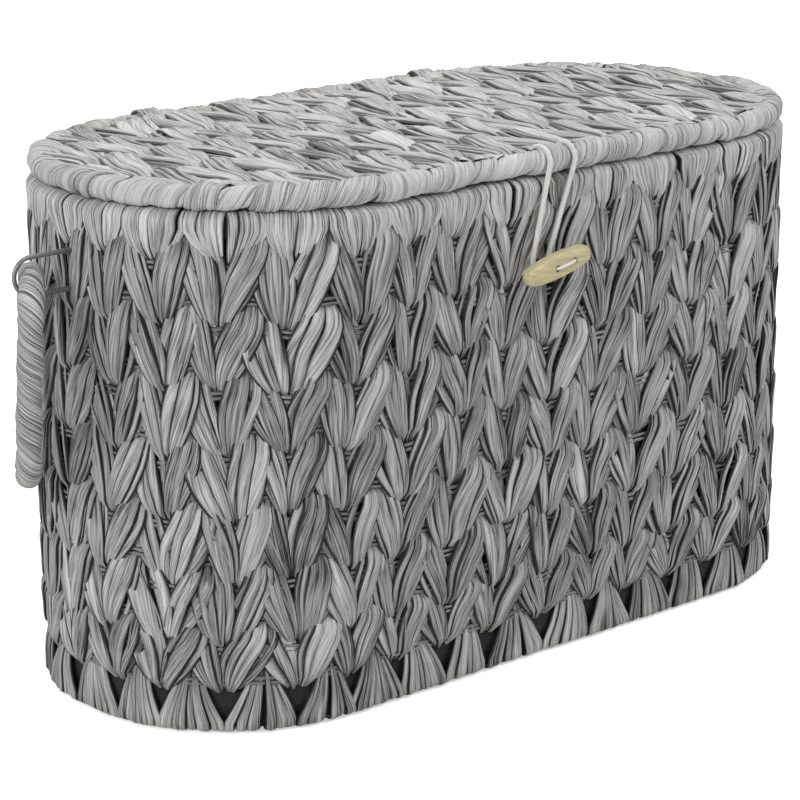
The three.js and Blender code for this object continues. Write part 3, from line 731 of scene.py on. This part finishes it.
wall_rows = []
for row in range(FULL_ROWS):
    foot = TOP_RUNG - 2 * RUNG_PITCH * (row + 1)
    head = foot + LEAF_RUN if row else RIM_CENTRE
    wall_rows.append((head, foot, LEAF_FIRST, LEAF_LAST))
last_head = TOP_RUNG - 2 * RUNG_PITCH * (FULL_ROWS + 1) + LEAF_RUN
wall_rows.append((last_head, LAST_FOOT, LEAF_FIRST, 1.0))
wall_levels = [TOP_RUNG - RUNG_PITCH * rung for rung in range(RUNGS)]

outer = Strands()
plait(outer, wall_map, VEE_PITCH, range(VEE_COUNT), wall_rows, ribbons=4, steps=14, sides=8)
wefts(outer, wall_map, wall_levels, 0, VEE_COUNT, per_vee=8, sides=7)
finish_piece(outer.build("outer_wall_plait"), wall_cord, "basket", "wall_outer_weave")
wall_shade_backing("outer_wall_shade_backing", "wall_outer_weave", out=-6.4, foot=18.0)

inner = Strands()
plait(inner, inner_wall_map, VEE_PITCH, range(VEE_COUNT), wall_rows,
      ribbons=3, steps=10, sides=7, depth=0.8)
wefts(inner, inner_wall_map, wall_levels, 0, VEE_COUNT, per_vee=4, sides=6, depth=0.8)
inner_plait = inner.build("inner_wall_plait")
finish_piece(inner_plait, inside_cord, "basket", "wall_inner_weave")
wall_shade_backing("inner_wall_shade_backing", "wall_inner_weave", out=-8.3, foot=14.0)


# Rim: ribbons that converge on the top vees, inside and outside, and wrap over the hoop between.
RIM_CROWN = BASKET_HEIGHT - RIM_CENTRE - 1.1
RIM_HALF = WALL_THICKNESS / 2 - 0.75
VEE_STEP = 0.01
RIM_CORE = ((-2.4, -5.6), (-2.4, 0.0), (-4.0, 2.6), (-7.0, 3.4), (-10.0, 2.6), (-11.4, 0.0), (-11.4, -5.6))


def rim_wrap():
    strands = Strands()
    angle = np.linspace(-0.15, math.pi + 0.15, 11)[None, :]
    edge = (TOP_RUNG + LEAF_RUN - RIM_CENTRE + 2.5) / LEAF_RUN
    u = np.linspace(1.10, edge, 6)[None, :]
    full = np.interp(u, LEAF_U, LEAF_WIDTH)
    for side, vee in product((-1, 1), range(VEE_COUNT)):
        count = 5 + random.integers(-1, 2)
        lane = even_lanes(count) + random.normal(0, 0.04, (count, 1))
        _, n = leaf_course(side, u, lane, full - 1.5, VEE_PITCH)
        h = TOP_RUNG + LEAF_RUN * (1 - u) + 0 * n
        over_a = side * 0.25 * (1 + lane) + random.normal(0, 0.012, (count, 1)) + 0 * angle
        over_a = over_a + random.normal(0.06, 0.05) * np.cos(angle)
        bulge = 0.7 * (1 - lane ** 2) + random.normal(0, 0.20, (count, 1)) - 0.30
        over_n = -WALL_THICKNESS / 2 + (RIM_HALF + bulge * 0.8) * np.cos(angle)
        over_h = RIM_CENTRE + (RIM_CROWN + bulge * 0.5) * np.sin(angle)
        rise = np.clip((h - TOP_RUNG) / (RIM_CENTRE - TOP_RUNG - 3.5), 0, 1)
        foot_a = side * (0.10 + 0.07 * lane)
        a = vee + (foot_a + (over_a[:, :1] - foot_a) * rise)
        n = n + (over_n[:, :1] - n) * smooth(rise)
        path_a = np.concatenate([a, vee + over_a, a[:, ::-1]], axis=1)
        path_h = np.concatenate([h, over_h, h[:, ::-1]], axis=1)
        path_n = np.concatenate([n, over_n, -WALL_THICKNESS - n[:, ::-1]], axis=1)
        own = VEE_PITCH / 2 / count * random.uniform(0.62, 0.76, (count, 1))
        narrow = 0.34 + 0.66 * rise[:1]
        narrow = np.concatenate([narrow, np.ones(angle.shape), narrow[:, ::-1]], axis=1)
        half_width = (own * narrow + RIBBON_OVERLAP)[..., None]
        tone = random.normal(0.5, 0.09) + random.normal(0, 0.09, count)
        wrap_ribbons(strands, wall_map, path_a, path_h, path_n, VEE_STEP,
                     half_width, RIBBON_HALF_THICKNESS, tone)
    return strands.build("rim_wrap")


finish_piece(rim_wrap(), rim_cord_painted_light, "basket", "rim_border")
# The hoop under the rim's wrap is coloured with painted shade.
rim_core = ring_skin("rim_core", [(out, RIM_CENTRE + up) for out, up in RIM_CORE])
finish_piece(rim_core, shade_backing, "basket", "rim_border")


# Base border: ribbons fan out from under the last weft cords and wrap below the hoop.
BASE_APEX = wall_levels[-1]
BASE_TURN = 0.72
FAN_NECK = 8.5
BASE_CORE = ((-4.4, 1.8), (-4.4, 20.0), (-7.0, 20.0), (-7.0, 5.0), (-13.4, 5.0), (-13.4, 1.8))


def base_fans():
    strands = Strands()
    u = np.linspace(0, 1, 14)[None, :]
    fall = np.clip(u / BASE_TURN, 0, 1)
    under = np.clip((u - BASE_TURN) / (1 - BASE_TURN), 0, 1)
    lip = 0.5 * np.clip(1 - np.abs(u - BASE_TURN) / 0.07, 0, 1)
    for vee in range(VEE_COUNT):
        count = random.integers(6, 10)
        lane, share = uneven_lanes(count)
        spread = VEE_PITCH * random.uniform(0.96, 1.08)
        full = FAN_NECK + (spread - FAN_NECK) * np.clip(fall / 0.88, 0, 1) ** random.uniform(0.85, 1.15)
        stray = random.normal(0, 0.7, (count, 1)) * fall + random.normal(0, 1.0) * (1 - fall)
        a = vee + 0.5 + (lane * full / 2 + stray) / VEE_PITCH
        h = (BASE_APEX + 3.5) * (1 - fall) + 1.45 + lip - 0.1 * under
        n = -4.4 + 3.2 * np.sin(np.clip(fall * 1.6, 0, 1) * math.pi / 2)
        n = n - 0.9 * np.abs(lane) ** 2 * (1 - fall)
        n = n + random.normal(0, 0.55, (count, 1)) * (1 - under) - (WALL_THICKNESS - 3.0) * under
        half_width = (share * full * random.uniform(0.46, 0.66, (count, 1)) + RIBBON_OVERLAP)[..., None]
        tone = random.normal(0.58, 0.07) + random.normal(0, 0.12, count)
        wrap_ribbons(strands, wall_map, a, h, n, VEE_STEP, half_width, 1.0, tone)
    return strands.build("base_fans")


finish_piece(base_fans(), wall_cord, "basket", "base_border")
# The core under the base fans is coloured with painted shade.
finish_piece(ring_skin("base_core", BASE_CORE), shade_backing, "basket", "base_border")


# Level weaves: the lid's two sides, the floor and the base's underside.
LEVEL_ROWS, LEVEL_VEES, LEVEL_RUNGS = range(-4, 5), range(-8, 9), 20


def inside_outline(path, inset):
    radius = path.radius - inset
    reach_x = path.length / 2 - inset - radius
    reach_y = path.depth / 2 - inset - radius

    def test(points):
        dx = np.maximum(np.abs(points[..., 0]) - reach_x, 0)
        dy = np.maximum(np.abs(points[..., 1]) - reach_y, 0)
        return np.hypot(dx, dy) < radius
    return test


def level_weave(name, path, inset, level, face, depth, ribbons=3, steps=13, sides=7):
    strands = Strands()
    place = level_map(level, face, LID_VEE_PITCH)
    keep = inside_outline(path, inset)
    run = 3 * LID_RUNG_PITCH
    rows = []
    for row in LEVEL_ROWS:
        foot = row * 2 * LID_RUNG_PITCH - run / 2 + 4.0
        rows.append((foot + run, foot, LEAF_FIRST, LEAF_LAST))
    plait(strands, place, LID_VEE_PITCH, LEVEL_VEES, rows, ribbons, steps, sides,
          keep=keep, depth=depth, broad=1.05)
    levels = [rows[0][1] + LID_RUNG_PITCH * rung for rung in range(LEVEL_RUNGS)]
    wefts(strands, place, levels, LEVEL_VEES[0], LEVEL_VEES[-1], 8, sides, keep=keep, depth=depth)
    return strands.build(name)


def level_shade_backing(name, path, inset, low, high):
    share = np.arange(120) / 120
    x, y, nx, ny = path.at(share)
    edge = np.stack([x - inset * nx, y - inset * ny], axis=-1)
    rings = []
    for scale, z in ((0.0, low), (0.6, low), (1.0, low), (1.0, high), (0.6, high), (0.0, high)):
        rings.append(np.concatenate([edge * scale, np.full((len(share), 1), z)], axis=1))
    return surface_object(name, np.stack(rings))


lid_top = level_weave("lid_top_plait", lid_path, inset=6.5, level=LID_LEVEL + 4.6, face=1,
                      ribbons=4, steps=18, sides=8, depth=0.95)
finish_piece(lid_top, lid_cord_painted_light, "lid", "lid_top_weave")
# A dark sheet of painted shade under the lid's top weave, seen only through its gaps.
lid_shade_backing = level_shade_backing("lid_top_shade_backing", lid_path, 10.0, low=LID_LEVEL - 0.4, high=LID_LEVEL + 0.1)
finish_piece(lid_shade_backing, shade_backing, "lid", "lid_top_weave")
lid_under = level_weave("lid_under_plait", lid_path, inset=8.0, level=LID_LEVEL - 5.1, face=-1, depth=0.6)
finish_piece(lid_under, inside_cord, "lid", "lid_under_weave")

FLOOR_INSET = 14.5
floor_weave = level_weave("floor_plait", base_path, FLOOR_INSET, level=13.4, face=1, depth=0.75)
finish_piece(floor_weave, inside_cord, "basket", "base_floor_weave")
# A dark sheet of painted shade under the floor weave, seen only through its gaps.
floor_shade_backing = level_shade_backing("floor_shade_backing", base_path, FLOOR_INSET, low=7.0, high=9.0)
finish_piece(floor_shade_backing, shade_backing, "basket", "base_floor_weave")
under_weave = level_weave("base_under_plait", base_path, FLOOR_INSET, level=3.6, face=-1, depth=0.6)
finish_piece(under_weave, inside_cord, "basket", "base_under_weave")


# Lid border: ribbons wrapped round the lid's hoop, in groups that lean each their own way.
SHARE_STEP = 0.0005


def lid_wrap():
    strands = Strands()
    at = 0.0
    around = np.linspace(math.radians(-172), math.radians(90), 11)[None, :]
    inward = np.linspace(0.15, 1, 4)[None, :]
    turn = np.concatenate([around / math.pi, 0.5 + 0.30 * inward], axis=1)
    while at < 1.0:
        group = min(random.uniform(9, 26), (1.0 - at) * lid_path.total + 0.1)
        count = max(3, round(group / 3.1))
        lane = even_lanes(count)
        lean = random.normal(0.32, 0.20)
        reach_in = random.uniform(2.0, 12.0)
        bulge = 1.15 * (1 - lane ** 2) + random.normal(0, 0.14, (count, 1)) + random.normal(0, 0.32) - 0.75
        reach = LID_ROLL / 2 - 1.0 + bulge
        spot = (lane / 2 + lean * turn) * group + random.normal(0, 0.25, (count, 1))
        share = at + (group / 2 + spot) / lid_path.total
        out = np.concatenate([reach * np.cos(around), -reach_in * inward + 0 * reach], axis=1)
        z = LID_LEVEL + np.concatenate([reach * np.sin(around), reach - 2.4 * inward ** 3], axis=1)
        half_width = group / count * random.uniform(0.62, 0.82, (count, 1, 1))
        tone = random.normal(0.52, 0.08) + random.normal(0, 0.08, count)
        wrap_ribbons(strands, lid_point, share, z, out - LID_ROLL / 2, SHARE_STEP, half_width, 1.1, tone)
        at += group / lid_path.total
    return strands.build("lid_wrap")


def lid_core():
    share = np.arange(200) / 200
    radius = LID_ROLL / 2 - 1.6
    lines = []
    for angle in circle(10):
        out = -LID_ROLL / 2 + radius * math.cos(angle)
        lines.append(lid_point(share, LID_LEVEL + radius * math.sin(angle), out))
    return surface_object("lid_core", np.stack(lines, axis=1), closed=True)


finish_piece(lid_wrap(), lid_cord_painted_light, "lid", "lid_border")
# The core under the lid's wrap is coloured with painted shade.
finish_piece(lid_core(), shade_backing, "lid", "lid_border")


# Hinge ties: five turns of flattened cord round the lid's rear border and the rim.
TIE_WIDTH, TIE_CORD, TIE_FLAT = 12.0, 2.4, 1.5
TIE_TURNS, TIE_STEPS = 5, 60
TIE_ARCH = 5.5


def convex_hull(points):
    points = sorted(map(tuple, points))

    def half(listed):
        chain = []
        for point in listed:
            while len(chain) > 1:
                (ax, ay), (bx, by) = chain[-2:]
                if (bx - ax) * (point[1] - ay) - (by - ay) * (point[0] - ax) > 1e-9:
                    break
                chain.pop()
            chain.append(point)
        return chain[:-1]
    return np.array(half(points) + half(points[::-1]))


def tie_loop(grow):
    """The shortest loop round the lid's border and an arch over the rim, grow away from both."""
    half = (WALL_THICKNESS + 1.0) / 2
    middle = 0.5 - half
    arch = [(middle + half, RIM_CENTRE - TIE_ARCH)]
    for angle in np.linspace(0, math.pi, 9):
        arch.append((middle + half * math.cos(angle), RIM_CENTRE + TIE_ARCH * math.sin(angle)))
    arch.append((middle - half, RIM_CENTRE - TIE_ARCH))
    discs = [(LID_ROLL_Y, LID_LEVEL, LID_ROLL / 2)]
    discs += [(wall_point(0.5, z, out)[1], z, 0.0) for out, z in arch]
    points = []
    for (y, z, radius), angle in product(discs, np.linspace(0, 2 * math.pi, 24, endpoint=False)):
        points.append((y + (radius + grow) * math.cos(angle), z + (radius + grow) * math.sin(angle)))
    return convex_hull(points)


def hinge_tie(name, centre_x, node_name):
    strands = Strands()
    loop = tie_loop(SEAT_GAP + 0.1 + TIE_FLAT / 2)
    ring = resample(np.concatenate([loop, loop[:1]]), TIE_STEPS, endpoint=False)
    way_round = np.linspace(0, 2 * math.pi, TIE_STEPS, endpoint=False)
    for turn in range(TIE_TURNS):
        x = centre_x + (turn - (TIE_TURNS - 1) / 2) * (TIE_WIDTH - TIE_CORD) / (TIE_TURNS - 1)
        sway = 0.25 * np.sin(way_round + turn * 1.7)
        centres = np.concatenate([(x + sway)[:, None], ring], axis=1)[None]
        sideways = np.broadcast_to((1.0, 0.0, 0.0), centres.shape)
        outward = unit(np.cross(tangents(centres, closed=True), sideways))
        tone = random.normal(0.5, 0.06)
        strands.add(centres, sideways * TIE_CORD / 2, outward * TIE_FLAT / 2, tone, 8, closed=True)
    finish_piece(strands.build(name), lid_cord_painted_light, "basket", node_name)


for node_name in ("left_hinge_tie", "right_hinge_tie"):
    tie_low, tie_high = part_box(node_name)
    hinge_tie(node_name.replace("hinge_tie", "tie_cords"), (tie_low.x + tie_high.x) / 2 / MM, node_name)


# Handles: a stiff ring wound with paper ribbons, four side by side, on a wire eyelet.
HANDLE_STEPS, HANDLE_SIDES = 1300, 22
HANDLE_GROOVE, HANDLE_FOLD = 0.75, 0.16


def handle_frame(side):
    """Top of the ring's middle line, and the ring's own axes: across, outward and down."""
    x, y, z = HANDLE_AXIS
    top = np.array([side * x, y, z])
    across = np.array([math.sin(HANDLE_YAW), math.cos(HANDLE_YAW), 0.0])
    level = side * np.array([math.cos(HANDLE_YAW), -math.sin(HANDLE_YAW), 0.0])
    down = np.array([0.0, 0.0, -math.cos(HANDLE_LEAN)]) + level * math.sin(HANDLE_LEAN)
    outward = level * math.cos(HANDLE_LEAN) + np.array([0.0, 0.0, math.sin(HANDLE_LEAN)])
    return top, across, outward, down


def wound_handle(name, side, body):
    top, across, outward, down = handle_frame(side)
    height = HANDLE_HEIGHT - HANDLE_BAR
    path = RoundedPath(HANDLE_WIDTH - HANDLE_BAR, height, height - 2 * HANDLE_CORNER)
    middle = top + down * height / 2
    share = np.arange(HANDLE_STEPS) / HANDLE_STEPS
    x, y, nx, ny = path.at(share)
    crossings = round(path.total / RIBBON_PITCH)
    angle = circle(HANDLE_SIDES) + np.pi
    phase = crossings * share[:, None] + side * RIBBON_STARTS * angle / (2 * np.pi)
    ridge = np.clip(1 - np.abs(2 * np.mod(phase, 1.0) - 1) ** 3, 0, 1) ** 0.6
    fold = np.clip(1 - np.abs(2 * np.mod(3 * phase, 1.0) - 1) ** 2, 0, 1)
    slow = 0.24 * np.sin(share * 2 * np.pi * 9) + 0.16 * np.sin(share * 2 * np.pi * 23 + 1)
    reach = HANDLE_BAR / 2 - HANDLE_GROOVE * (1 - ridge) - HANDLE_FOLD * (1 - fold) + slow[:, None] - 0.15
    centre = middle + across * x[:, None] + down * y[:, None]
    radial = across * nx[:, None] + down * ny[:, None]
    rings = (centre[:, None] + radial[:, None] * (reach * np.cos(angle))[..., None]
             + outward * (reach * np.sin(angle))[..., None])
    finish_piece(surface_object(name, rings, closed=True), handle_material(side), body, body)


def smooth_eyelet(name, side, node_name):
    """A wire staple from inside the wall, round the handle's bar and back."""
    top = handle_frame(side)[0]
    radius = (HANDLE_BAR + SEAT_GAP + EYELET_PLAY + EYELET_WIRE) / 2
    low = top[2] - HANDLE_BAR / 2 - SEAT_GAP - EYELET_WIRE / 2
    high = low + 2 * radius

    def leg(z):
        foot = wall_point(0.25, z, -8.3)[0] * side
        return [(foot + (top[0] - foot) * share, top[1], z) for share in np.linspace(0, 1, 7)[:-1]]

    points = leg(low)
    for angle in np.linspace(-math.pi / 2, math.pi / 2, 25):
        x = top[0] + side * radius * math.cos(angle)
        points.append((x, top[1], (low + high) / 2 + radius * math.sin(angle)))
    points += leg(high)[::-1]
    course = soften(resample(np.array(points), 80), 2)
    rings = twisted_tube(course, EYELET_WIRE / 2, sides=16, ply=1, pitch=100.0, relief=0.0)
    finish_piece(surface_object(name, rings), wire_paint, "basket", node_name)


wound_handle("left_handle_winding", -1, "left_handle")
wound_handle("right_handle_winding", 1, "right_handle")
smooth_eyelet("left_eyelet_wire", -1, "left_eyelet")
smooth_eyelet("right_eyelet_wire", 1, "right_eyelet")


# Toggle: a boat-shaped wooden bar with two holes and a stitch of cord.
toggle_low, toggle_high = [np.array(corner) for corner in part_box("toggle")]
TOGGLE_CENTRE = (toggle_low + toggle_high) / 2 / MM
TOGGLE_THICK = (toggle_high[1] - toggle_low[1]) / MM


def toggle_frame(points):
    """From the toggle's own axes (along, front-back, up) to the basket's."""
    along = np.array([math.cos(TOGGLE_TILT), 0.0, math.sin(TOGGLE_TILT)])
    up = np.array([-math.sin(TOGGLE_TILT), 0.0, math.cos(TOGGLE_TILT)])
    back = np.array([0.0, 1.0, 0.0])
    points = np.asarray(points, float)
    return TOGGLE_CENTRE + points[..., :1] * along + points[..., 1:2] * back + points[..., 2:3] * up


def toggle_bar():
    levels, sides, squareness = 48, 32, 3.4
    x = TOGGLE_LENGTH / 2 * np.sin(np.linspace(-1, 1, levels) * math.pi / 2)
    share = np.abs(x) / (TOGGLE_LENGTH / 2)
    half_up = TOGGLE_END / 2 + (TOGGLE_HEIGHT - TOGGLE_END) / 2 * (1 - share ** 2)
    half_up = half_up * np.clip(1 - share ** 14, 0, 1) ** 0.5
    half_deep = TOGGLE_THICK / 2 * np.clip(1 - share ** 12, 0, 1) ** 0.5
    angle = circle(sides)
    deep = np.sign(np.cos(angle)) * np.abs(np.cos(angle)) ** (2 / squareness)
    high = np.sign(np.sin(angle)) * np.abs(np.sin(angle)) ** (2 / squareness)
    rings = np.stack([
        np.broadcast_to(x[:, None], (levels, sides)),
        half_deep[:, None] * deep,
        half_up[:, None] * high,
    ], axis=-1)
    return surface_object("toggle_bar", toggle_frame(rings))


def drill_toggle(piece):
    for place in TOGGLE_HOLES:
        bpy.ops.mesh.primitive_cylinder_add(vertices=32, radius=TOGGLE_HOLE_DIAMETER / 2 * MM, depth=0.03)
        cutter = bpy.context.object
        centre = Vector(toggle_frame([place, 0.0, 0.0]) * MM)
        cutter.matrix_world = Matrix.Translation(centre) @ Matrix.Rotation(math.pi / 2, 4, "X")
        bpy.context.view_layer.update()
        drill = piece.modifiers.new("drill", "BOOLEAN")
        drill.operation = "DIFFERENCE"
        drill.solver = "EXACT"
        drill.object = cutter
        bpy.context.view_layer.objects.active = piece
        piece.select_set(True)
        bpy.ops.object.modifier_apply(modifier=drill.name)
        bpy.data.objects.remove(cutter, do_unlink=True)


def thread_stitch():
    """In from the wall, through one hole, along the front and back through the other."""
    radius = THREAD_DIAMETER / 2
    front = -TOGGLE_THICK / 2 - radius * 0.75
    back = TOGGLE_THICK / 2 + SEAT_GAP + radius
    wall_y = wall_point(0.0, TOGGLE_CENTRE[2], -3.0)[1] - TOGGLE_CENTRE[1]
    first, second = TOGGLE_HOLES
    route = [(THREAD_STEM - 0.5, wall_y), (THREAD_STEM - 0.5, back), (first, back - 0.4),
             (first, front + 0.3), ((first + second) / 2, front), (second, front + 0.3),
             (second, back - 0.4), (THREAD_STEM + 0.5, back), (THREAD_STEM + 0.5, wall_y)]
    course = toggle_frame([(x, y, 0.0) for x, y in route])
    course = soften(resample(course, 140), 4)
    rings = twisted_tube(course, radius, sides=12, ply=3, pitch=5.0, relief=0.25)
    return surface_object("toggle_stitch", rings)


toggle = toggle_bar()
drill_toggle(toggle)
finish_piece(toggle, wood, "toggle", "toggle")
finish_piece(thread_stitch(), cotton, "toggle", "toggle_thread")


# Wires that stay as they are.
for node_name in ("basket_frame", "lid_frame"):
    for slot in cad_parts[node_name].material_slots:
        slot.material = wire_paint


# Floor, light and world. A lamp: its name, place, aim, size and power in watts.
LAMPS = (
    ("key_light", (0.95, -1.2, 1.7), (0, 0, 0.1), 1.0, 25),
    ("fill_light", (-1.7, -0.4, 1.1), (0, 0, 0.1), 1.2, 24),
    ("top_light", (0.0, 0.4, 2.2), (0, 0, 0.2), 1.4, 18),
)


def sees_background(tree):
    """One where the camera looks, and in gloss and glass, so that metal shows the background too."""
    path = node(tree, "LightPath", {})
    seen = path["Is Camera Ray"]
    for kind in ("Is Glossy Ray", "Is Transmission Ray"):
        seen = calculate(tree, "MAXIMUM", seen, path[kind])
    return seen


def add_floor():
    """A pale floor that glows a little more with distance, as far as the eye sees it."""
    bpy.ops.mesh.primitive_grid_add(x_subdivisions=2, y_subdivisions=2, size=6.0, location=(0, 0, 0))
    ground = bpy.context.object
    ground.name = "studio_floor"
    material, tree, shader = new_material("studio_floor")
    away = node(tree, "VectorMath", {0: object_place(tree)}, operation="LENGTH")["Value"]
    glow = map_range(tree, away, 0.50, 1.30, from_low=0.5, from_high=1.8)
    feed(tree, shader, {
        "Base Color": (0.86, 0.86, 0.86, 1.0),
        "Roughness": 0.9,
        "Specular IOR Level": 0.1,
        "Emission Color": WHITE,
        "Emission Strength": calculate(tree, "MULTIPLY", sees_background(tree), glow),
    })
    ground.data.materials.append(material)


def add_world():
    world = bpy.data.worlds.new("studio_world")
    scene.world = world
    world.use_nodes = True
    tree = world.node_tree
    strength = map_range(tree, sees_background(tree), 0.32, 1.0)
    feed(tree, tree.nodes["Background"], {"Color": WHITE, "Strength": strength})


def add_lamp(name, place, aim, size, power):
    data = bpy.data.lights.new(name, "AREA")
    data.shape = "SQUARE"
    data.size = size
    data.energy = power
    light = bpy.data.objects.new(name, data)
    light.location = place
    light.rotation_euler = (Vector(aim) - Vector(place)).to_track_quat("-Z", "Y").to_euler()
    scene.collection.objects.link(light)


add_floor()
add_world()
for lamp in LAMPS:
    add_lamp(*lamp)
scene.view_settings.view_transform = "Standard"

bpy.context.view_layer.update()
